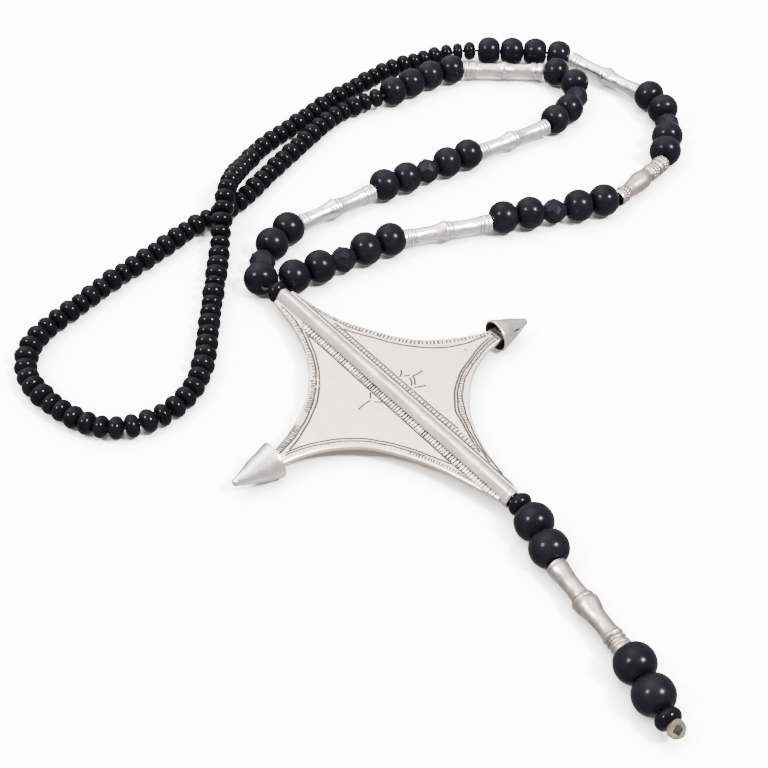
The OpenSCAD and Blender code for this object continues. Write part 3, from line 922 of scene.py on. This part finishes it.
def engrave_lower_left(relief, edge):
    """Two lines and rungs beside the edge, faint at first, and two free lines near the bottom."""
    relief.edge_line(edge, [(6, 2.3), (10, 2.8), (24.5, 2.9), (31, 2.7), (39, 2.7), (49, 2.45), (53, 2.8)],
                     7.5, 53.5, 0.46, 0.17)
    relief.edge_line(edge, [(6, 1.7), (10, 2.0), (18.6, 1.8), (24.5, 2.0), (31, 1.8), (47, 1.8)], 7.0, 47)
    relief.edge_rungs(edge, 0.8, 1.5, 0.95, 8, 41, 0.22, 0.07)
    relief.edge_rungs(edge, 0.6, [(41, 1.6), (46, 1.9), (62, 1.6)], 0.85, 41, 62, 0.38)
    relief.stroke([(-5.2, -34.6), (-4.6, -37.4), (-4.0, -40.4), (-3.5, -43)], 0.4)
    relief.stroke([(-3.95, -33.0), (-3.45, -36), (-3.2, -39.5), (-3.05, -43), (-2.95, -45.5)], 0.5, 0.17)


def engrave_lower_right(relief, edge):
    """A band of rungs between two lines, and a third line inside it."""
    inner = [(9, 1.2), (18, 1.4), (27, 2.1), (31.5, 3.2), (38, 3.5), (43.7, 3.2), (53, 2.0), (62, 1.9)]
    outer = [(9, 0.5), (18, 0.8), (27, 1.0), (31.5, 1.5), (38, 2.2), (43.7, 1.9), (53, 0.9), (62, 0.8)]
    relief.edge_line(edge, outer, 6, 63, 0.4)
    relief.edge_line(edge, inner, 10, 63.5, 0.44, 0.17)
    relief.edge_line(edge, [(18, 2.1), (27, 2.8), (31.5, 4.1), (38, 4.3), (43.7, 3.9), (53, 2.7), (62, 2.8)],
                     16, 62.5, 0.48, 0.17)
    relief.edge_rungs(edge, [(s, d + 0.28) for s, d in outer], [(s, d - 0.28) for s, d in inner],
                      0.95, 23, 63, 0.42)


def engrave_beside_tube(relief):
    """The line along the tube's right and the ladder beside it, and three lines on its left; the line along
    the tube is also painted shade of the tube on the plate.
    """
    # Painted shade: this engraved line beside the tube also stands in for the tube's shadow on the plate
    relief.stroke([(3.5, 51.3), (3.45, 47), (3.5, 42), (3.5, 36), (3.5, 20), (3.5, 5), (3.5, -12), (3.5, -26),
                   (3.4, -36), (3.3, -47)], 0.42, 0.17)
    ladder = [(4.85, 33), (4.95, 27), (5.0, 15), (5.0, 5), (5.05, -5), (5.1, -14), (5.4, -22.6)]
    relief.stroke(ladder, 0.4)
    y = 32.6
    while y > -31:
        x = float(np.interp(-y, [-p[1] for p in ladder], [p[0] for p in ladder]))
        relief.rung((3.75, y), (x - 0.2, y + relief.hand.uniform(-0.1, 0.1)), 0.5, 0.15)
        y -= 1.26 * relief.hand.uniform(0.9, 1.1)
    relief.stroke([(-3.25, 49.2), (-3.2, 45.5), (-3.2, 41)], 0.45, 0.17)
    relief.stroke([(-3.1, 48.2), (-3.3, 45), (-3.7, 42), (-4.1, 39.5), (-4.6, 37), (-5.4, 34.5)], 0.75, 0.2)
    relief.stroke([(-4.3, 38.4), (-4.45, 34), (-4.4, 24), (-4.45, 12), (-4.4, 0), (-4.45, -12), (-4.4, -24),
                   (-4.4, -31), (-4.1, -35.5), (-3.7, -40)], 0.42, 0.17)


def engrave_points(relief):
    """Rungs below the top point, and five bars across the right point, wide and dark as painted shade where
    the point runs into the right cone.
    """
    relief.hand = np.random.default_rng(15)
    for y in np.arange(47.5, 34, -0.95):
        inner = float(np.interp(-y, (-48, -44, -40, -36, -34), (3.9, 4.4, 5.2, 6.3, 6.9)))
        relief.rung((inner - 0.9, y - 0.1), (inner + 0.35, y + 0.15), 0.5, 0.17)
    # Painted shade: wide dark bars where the right point lies inside the right cone
    for x, low, high, width in ((37.9, -2.6, 0.6, 0.5), (39.3, -3.1, 1.6, 1.2), (40.8, -3.1, 1.7, 1.3),
                                (42.3, -3.1, 1.7, 1.3), (43.8, -3.0, 1.6, 1.3)):
        relief.groove([(x, low), (x + 0.15, -0.6), (x, high)], width, 0.2, blunt=True)


# Small figure in the middle of the plate, and one tick toward the right point
FIGURE = (
    [(7.7, 5.4), (6.9, 4.2), (6.1, 3.6), (5.4, 3.2)],
    [(6.5, 2.9), (7.6, 2.3), (8.6, 1.9)],
    [(7.6, 1.6), (7.2, 0.2), (6.5, -0.9), (5.7, -1.7)],
    [(8.6, 1.2), (8.1, -0.3), (7.4, -1.3), (6.7, -2.1)],
    [(8.4, 1.3), (10.2, 1.1), (12.5, 1.2)],
    [(5.8, -2.5), (7.5, -3.3), (9.4, -4.0)],
    [(-4.5, 3.9), (-5.5, 2.8), (-6.4, 1.4)],
    [(-6.5, 1.2), (-9.0, 1.0), (-11.8, 0.4)],
    [(-6.4, 0.1), (-5.4, -0.8), (-4.5, -1.6)],
    [(27.2, 0.6), (27.6, 0.0), (27.8, -0.7)],
)


def engrave(relief):
    """All the engraving on the plate."""
    for name, work in (("upper_right", engrave_upper_right), ("upper_left", engrave_upper_left),
                       ("lower_left", engrave_lower_left), ("lower_right", engrave_lower_right)):
        work(relief, Edge(EDGES[name]))
    engrave_beside_tube(relief)
    engrave_points(relief)
    for points in FIGURE:
        relief.stroke(points, 0.46, 0.17, 0.5)


def outline_points():
    """The plate's outline: the four edges, joined by straight lines across the four points."""
    runs = [curve_through(points, 0.6)[:-1 if name in ("upper_left", "lower_right") else None]
            for name, points in EDGES.items()]
    return np.concatenate(runs)


def inset(outline, distance):
    way = units(np.roll(outline, -1, axis=0) - np.roll(outline, 1, axis=0))
    return outline + left_of(way) * distance


def sheet(outline, rim_depth, inner_depth):
    """A flat sheet with a narrow bevel round its rim."""
    relief = Relief()
    relief.run(outline, rim_depth, True)
    relief.run(inset(outline, RIM_WIDTH), inner_depth, True)
    return relief


def plate(paint, dark_paint, grey_paint):
    """The engraved plate: its top, its plain underside and the rim between them."""
    outline = outline_points()
    relief = sheet(outline, RIM_DROP, 0.0)
    engrave(relief)
    flat, faces, depth, first = relief.solve(outline)
    top = to_world(flat, PLATE_TOP - depth)
    rim_top = [first[i] for i in range(len(outline))]
    rim = set(rim_top)
    slots = []
    for f in faces:
        deep = 0 if any(i in rim for i in f) else max(depth[list(f)])
        slots.append(1 if deep > 0.1 else 2 if deep > 0.03 else 0)
    flat, under_faces, lift, first = sheet(outline, 0.0, 1.0).solve(outline)
    bottom = to_world(flat, PLATE_TOP - PLATE_THICKNESS + UNDER_DROP * (1 - lift))
    rim_low = [len(top) + first[i] for i in range(len(outline))]
    faces += [tuple(reversed(f)) for f in shifted(under_faces, len(top))]
    for i in range(len(outline)):
        j = (i + 1) % len(outline)
        faces.append((rim_top[i], rim_low[i], rim_low[j], rim_top[j]))
    slots += [0] * (len(faces) - len(slots))
    ob = mesh_object("pendant_plate", np.concatenate([top, bottom]), faces, [paint, dark_paint, grey_paint],
                     slots=slots, smooth=False)
    return place(ob, "silver", "pendant")


def notched_strip(paint):
    """A narrow sloping strip of cells soldered along the left side of the pendant's tube."""
    section = np.array([(-STRIP_X, STRIP_FOOT), (-STRIP_X, 5.84), (-3.85, 5.98), (-3.3, 6.16), (-2.75, 6.3),
                        (-2.45, 6.34), (-STRIP_INNER_X, 6.24), (-STRIP_INNER_X, STRIP_FOOT)])
    sway = np.array([1, 1, 1, 0.5, 0, 0, 0, 0])
    cut = np.array([0, 0.3, 1, 1, 1, 0.7, 0, 0])
    # Dark across the section: dark rails along both sides of the strip, and along the side by the tube also
    # painted shade
    rails_and_shade = np.array([0.9, 0.8, 0.15, 0, 0.5, 0.9, 1.0, 0.9])
    rng = np.random.default_rng(21)
    y, rungs = 38.6, []
    while y > -47:
        width = (0.25 if y > 8 else 0.27) * rng.uniform(0.7, 1.25)
        rungs.append((y, width, (1 if y > -35 else 0.6) * rng.uniform(0.85, 1)))
        y -= (1.18 if y > 12 else 0.98 if y > -6 else 1.05) * rng.uniform(0.82, 1.18)
    rungs = np.array(rungs)
    ys = np.arange(39.6, -48.0, -0.1)
    verts, dark = [], []
    for y in ys:
        near = int(np.argmin(np.abs(rungs[:, 0] - y)))
        notch = math.exp(-((rungs[near, 0] - y) / rungs[near, 1]) ** 4) * rungs[near, 2]
        taper = min(1.0, (39.8 - y) / 2.5, 0.35 + (y + 48.5) / 9)
        wave = 0.06 * math.sin(y * 0.7) + 0.04 * math.sin(y * 1.9)
        x = -STRIP_INNER_X + (section[:, 0] + STRIP_INNER_X) * taper + wave * sway
        z = STRIP_FOOT + (section[:, 1] - 0.12 * notch * cut - STRIP_FOOT) * (0.5 + 0.5 * taper)
        verts.append(to_world(np.stack([x, np.full(8, y)], 1), z))
        dark.append(np.clip(1.3 * notch * cut + rails_and_shade, 0, 1))
    rows, n = len(ys), len(section)
    faces = [tuple(reversed(range(n)))] + ring_faces(rows, n) + [tuple((rows - 1) * n + k for k in range(n))]
    ob = mesh_object("pendant_strip", np.concatenate(verts), faces, [paint], smooth=False,
                     dark=np.concatenate(dark))
    return place(ob, "silver", "pendant")


def ridge(paint):
    """The pendant's long tube, with two flattened flanks, painted shade along its foot on both sides and over
    its right flank, and darker streaks along its left flank.
    """
    rows, sides = 260, 72
    length = RIDGE_UP + RIDGE_DOWN
    share = np.linspace(0, 1, rows)
    z = (share - 0.5) * length
    outer = np.full(rows, RIDGE_R)
    outer[[0, -1]] -= 0.25
    inner = np.full(20, RIDGE_BORE_R)
    inner[[0, -1]] += 0.2
    profile = np.concatenate([np.stack([outer, z], 1), np.stack([inner, np.linspace(z[-1], z[0], 20)], 1)])
    points, faces, uv = turned(profile, sides)
    s, a = grid(np.concatenate([share, np.linspace(1, 0, 20)]), sides)
    wall = (np.arange(len(profile)) < rows)[:, None]
    change, dark = np.zeros_like(s), np.zeros_like(s)
    add_dents(change, np.random.default_rng(3), s, a, 12, 0.008, (0, 4), 8, (8, 40))
    for line in (0.006, 0.02, 0.985):
        cut = hump((s - line) * length, 0.2)
        change -= 0.1 * cut
        dark += 0.5 * cut
    for middle, half, keep in RIDGE_FLANKS:
        chord = RIDGE_R * math.cos(math.radians(half)) / np.maximum(np.cos(a - math.radians(middle)), 0.2)
        change -= np.log1p(np.exp(-keep * (chord - RIDGE_R) * 2)) / (keep * 2) * (0.9 + 0.1 * np.sin(s * 30))
    # Painted shade: dark along the foot of the tube on both sides, where it meets the strip and the plate
    dark += 0.35 * hump(a - math.radians(183), 0.12) + 0.3 * hump(a - math.radians(358), 0.2)
    # Painted shade: the whole right flank darker
    dark += 0.42 / (1 + np.exp(-(a - math.radians(306)) / 0.1))
    # Darker streaks, broken along the length, low and high on the left flank
    worn = 0.5 + 0.5 * np.sin(s * 23 + 1.3) * np.sin(s * 9.1) + 0.25 * np.sin(s * 61)
    dark += 0.3 * np.clip(worn, 0, 1) * hump(a - math.radians(203), 0.16)
    dark += 0.16 * np.clip(worn, 0, 1) * hump(a - math.radians(242), 0.1)
    swell(points, np.where(wall, change, 0))
    dark = np.where(wall, np.clip(dark, 0, 1), 0.9)
    ends = to_world([(0, -RIDGE_DOWN), (0, RIDGE_UP)], RIDGE_Z)
    axis = unit(ends[1] - ends[0])
    points = points.reshape(-1, 3) @ axes_for(axis) + ends.mean(0)
    ob = mesh_object("pendant_tube", points, faces, [paint], sharp=45, dark=dark.ravel(), uv=uv)
    return place(ob, "silver", "pendant")


def cone(side, paint, dark_paint, seed):
    """One cone of bent sheet with a rounded tip and a hollow in its base; the right one has a slit. The
    hollow and the slit are painted near-black as shade.
    """
    tip_at, turn, length, radius, z_axis, hollow = CONES[side]
    tip = CONE_TIP_R
    outer = [(radius - 0.28, -length), (radius - 0.06, -length + 0.12), (radius, -length + 0.4)]
    for t in np.linspace(0.04, 1, 60):
        bulge = 0.2 * math.sin(math.pi * t)
        outer.append((radius + (tip - radius) * t + bulge, -length + 0.4 + (length - 0.4 - tip) * t))
    for a in np.linspace(8, 84, 10):
        outer.append((tip * math.cos(math.radians(a)), -tip + tip * math.sin(math.radians(a))))
    outer.append((0.004, 0.0))
    floor_z = -length + hollow
    inner = [(0.004, floor_z)]
    for t in np.linspace(0.1, 1, 24):
        z = floor_z - (hollow - 0.1) * t
        inner.append((max(0.1, radius - CONE_WALL - (radius - tip) * (z + length) / length), z))
    inner.append((radius - CONE_WALL + 0.08, -length))
    shape = np.array(outer + inner)
    sides = 72
    points, faces, uv = turned(shape[::-1], sides)
    z, a = grid(shape[::-1, 1], sides)
    inside = (np.arange(len(shape)) < len(inner))[:, None]
    wall = ~inside & (z < -tip * 0.5)
    change = np.zeros_like(z)
    add_dents(change, np.random.default_rng(seed), z, a, 16, 0.018, (1, 5), 0.5, (0.3, 1.6))
    # Painted shade: the inside of the hollow is painted dark
    dark = np.where(inside, 0.85, 0.0) + 0 * z
    if side == "right":
        along = math.radians(330) + (z + 7.3) / 3.2 * math.radians(15)
        off = np.abs(np.angle(np.exp(1j * (a - along))))
        slit = np.clip(4 * (1.25 - (off / 0.14) ** 2 - ((z + 5.75) / 1.75) ** 2), 0, 1) * wall
        change -= 0.3 * slit
        # Painted shade: the slit is painted dark, as the shade inside it
        dark += slit
    swell(points, np.where(wall, change, 0))
    way = np.array([math.cos(math.radians(turn)), math.sin(math.radians(turn))])
    ends = to_world([np.array(tip_at) - way, tip_at], z_axis)
    points = points.reshape(-1, 3) @ axes_for(ends[1] - ends[0]) + ends[1]
    corners = np.array(faces)
    hidden = (corners // sides < len(inner)).all(1)
    # Faces inside the hollow and in the slit get the dark paint of painted shade
    slots = (hidden | (dark.ravel()[corners] > 0.95).all(1)).astype(int)
    ob = mesh_object(f"pendant_cone_{side}", points, [tuple(reversed(f)) for f in faces], [paint, dark_paint],
                     slots=slots, sharp=45, dark=np.clip(dark, 0, 1).ravel(), uv=uv)
    return place(ob, "silver", "pendant")


def washer(paint):
    """The rounded hide washer that ends the drop, turned up towards the viewer, with the thread's knot."""
    centre = SOLIDS["stop_washer"][0][0] + np.array([0.2, -0.3, 0.2])
    radius, half = 2.4, 0.65
    profile = [(0.62, half * 0.8), (0.9, half)]
    profile += [(radius - half + half * math.cos(t), half * math.sin(t)) for t in np.linspace(1.4, -1.4, 9)]
    profile += [(0.9, -half), (0.62, -half * 0.8)]
    hide, faces, _ = turned(profile[::-1], 40)
    a = angles(40)
    hide[:, :, :2] *= (1 + 0.03 * np.sin(3 * a + 1) + 0.02 * np.sin(7 * a))[None, :, None]
    knot, knot_faces, _ = turned([(0.0015, -0.9), (0.7, -0.9), (1.05, -0.3), (1.2, 0.5), (0.95, 0.9),
                                  (0.0015, 1.0)], 20)
    a = angles(20)
    knot[:, :, :2] *= (1 + 0.16 * np.cos(4 * a) + 0.05 * np.sin(9 * a))[None, :, None]
    hide, knot = hide.reshape(-1, 3), knot.reshape(-1, 3)
    verts = np.concatenate([hide, knot]) @ axes_for((0.25, -0.72, 0.64)) + centre
    dark = np.concatenate([np.zeros(len(hide)), np.ones(len(knot))])
    ob = mesh_object("stop_washer_hide", verts, faces + shifted(knot_faces, len(hide)), [paint], sharp=60,
                     dark=dark)
    return place(ob, "hide", "stop_washer")


# Thread

def chained(solids, start):
    """Ends of the solids in the order in which a thread meets them."""
    ends = [(c - a * l / 2, c + a * l / 2) for c, a, l in solids]
    here, path, left = np.asarray(start, float), [], list(range(len(ends)))
    while left:
        _, i, k = min((np.linalg.norm(ends[i][k] - here), i, k) for i in left for k in (0, 1))
        path += [ends[i][k], ends[i][1 - k]]
        here = ends[i][1 - k]
        left.remove(i)
    return path


def twisted(points, radius, turn, step, sides):
    """A cord of two twisted strands along a row of points: vertices and faces."""
    p = curve_through(points, step)
    way = units(np.gradient(p, axis=0))
    side = units(np.cross(way, UP))
    up = np.cross(side, way)
    s = np.concatenate([[0], np.cumsum(np.linalg.norm(np.diff(p, axis=0), axis=1))])
    r = radius * (0.8 + 0.2 * np.abs(np.cos(angles(sides)[None] - s[:, None] * turn)))
    x, y = circle(sides).T
    ring = (x[None, :, None] * side[:, None] + y[None, :, None] * up[:, None]) * r[:, :, None]
    verts = (p[:, None] + ring).reshape(-1, 3)
    faces = ring_faces(len(p), sides)
    faces.append(tuple(range(sides))[::-1])
    faces.append(tuple((len(p) - 1) * sides + k for k in range(sides)))
    return verts, [tuple(reversed(f)) for f in faces]


def solids_of(*starts):
    return [s for name, found in SOLIDS.items() for s in found if name.startswith(starts)]


def make_thread(paint):
    """The thread of the neck loop, and the thicker doubled one through the pendant and the drop."""
    top, low = to_world([(0, RIDGE_UP), (0, -RIDGE_DOWN)], RIDGE_Z)
    bead = SOLIDS["top_small_bead"][0][0]
    meeting = bead + (bead - top) * 1.2
    meeting[2] = 5.0
    loop = [meeting] + chained(solids_of("left_", "right_", "small_"), meeting) + [meeting]
    verts, faces = twisted(loop, THREAD_R, 2.2, 0.6, 10)
    drop = [meeting, top, low] + chained(solids_of("drop_", "bottom_", "end_", "stop_"), low)
    drop_verts, drop_faces = twisted(drop, DROP_THREAD_R, 1.3, 0.4, 12)
    faces += shifted(drop_faces, len(verts))
    ob = mesh_object("thread_twist", np.concatenate([verts, drop_verts]), faces, [paint], sharp=60)
    return place(ob, "thread", "thread")


# The whole necklace

make_camera()
make_world()
make_floor()
for lamp, direction, radiance in (("lamp_right", (0.545, -0.303, 0.781), LAMP_RIGHT),
                                  ("lamp_left", (-0.61, -0.254, 0.752), LAMP_LEFT)):
    make_light(lamp, direction, LAMP_AWAY, LAMP_SIZE, radiance, LAMP_COLOUR)
make_light("fill", (0, 0.1, 1), 2.5, 3.0, FILL, (1, 1, 1), False)

OXIDE_COLOUR = (0.012, 0.0102, 0.0094)
SILVER = silver_paint("silver_satin", (0.77, 0.735, 0.71), (0.60, 0.565, 0.545), 0.27)
RIDGE_SILVER = silver_paint("silver_ridge", (0.73, 0.68, 0.66), (0.42, 0.385, 0.37), 0.27)
PLATE_SILVER = silver_paint("silver_plate", (0.80, 0.715, 0.65), (0.66, 0.58, 0.515), 0.42)
STRIP_SILVER = silver_paint("silver_strip", (0.80, 0.735, 0.68), (0.66, 0.595, 0.545), 0.4, OXIDE_COLOUR)
WARM_SILVER = silver_paint("silver_warm", (0.48, 0.42, 0.395), (0.22, 0.185, 0.17), 0.34,
                           (0.009, 0.007, 0.006))
# Painted shade: the near-black inside the cones' hollows and in the right cone's slit
PAINTED_HOLLOW_SHADE = oxide_paint("silver_hollow_painted_shade", (0.0062, 0.0062, 0.0045))
OXIDE = oxide_paint("silver_oxide", OXIDE_COLOUR)
WORN_OXIDE = oxide_paint("silver_worn_oxide", (0.09, 0.08, 0.075))
BLACK = black_paint("bead_black", (0.0013, 0.0012, 0.00165), 0.21, 0.045, 0.05)
SMALL_BLACK = black_paint("bead_small_black", (0.0009, 0.0008, 0.001), 0.14, 0.05, 0.12)
CUT_BLACK = black_paint("bead_cut_black", (0.0015, 0.0015, 0.0021), 0.45, 0.04, 0.2)
THREAD = thread_paint()
HIDE = hide_paint()

for seed, name in enumerate(("left_round_beads", "right_round_beads", "drop_bead_1", "drop_bead_2",
                             "drop_bead_3", "drop_bead_4")):
    found = filled([(c, a, n * ROUND_SHARE, ROUND_WIDE if n > ROUND_WIDE_FROM else ROUND_NARROW)
                    for c, a, n in SOLIDS[name]])
    stones = beads(f"{name}_stone", found, ROUND_BORE, BLACK, 30, 56, seed + 10, 0.0, 0.05, 1.05)
    place(stones, "black_bead", name)
for seed, name in enumerate(("small_beads_left", "small_beads_right")):
    found = uneven(SOLIDS[name], SMALL_WIDTH, seed + 5, 0.22)
    glass = beads(f"{name}_glass", found, SMALL_BORE, SMALL_BLACK, 15, 30, seed + 30, 0.03, 0.1)
    place(glass, "black_bead", name)
for seed, name in enumerate(("top_small_bead", "bottom_small_bead", "end_small_bead")):
    found = [(c, a, n, SMALL_WIDTH) for c, a, n in SOLIDS[name]]
    glass = beads(f"{name}_glass", found, SMALL_BORE, SMALL_BLACK, 15, 40, seed + 40, 0.0, 0.1)
    place(glass, "black_bead", name)
for seed, name in enumerate(n for n in sorted(nodes) if "faceted" in n):
    centre, axis, length = SOLIDS[name][0]
    place(cut_bead(f"{name}_cut", centre, axis, length, CUT_BLACK, 0.3 * seed), "cut_bead", name)
for seed, (name, (profile, direction, lines, kind)) in enumerate(TUBES.items()):
    paint = WARM_SILVER if kind in ("ornate", "drop") else SILVER
    tube(name, profile, direction, lines, kind, paint, seed + 50)

plate(PLATE_SILVER, OXIDE, WORN_OXIDE)
notched_strip(STRIP_SILVER)
ridge(RIDGE_SILVER)
cone("left", SILVER, PAINTED_HOLLOW_SHADE, 71)
cone("right", SILVER, PAINTED_HOLLOW_SHADE, 72)
make_thread(THREAD)
washer(HIDE)
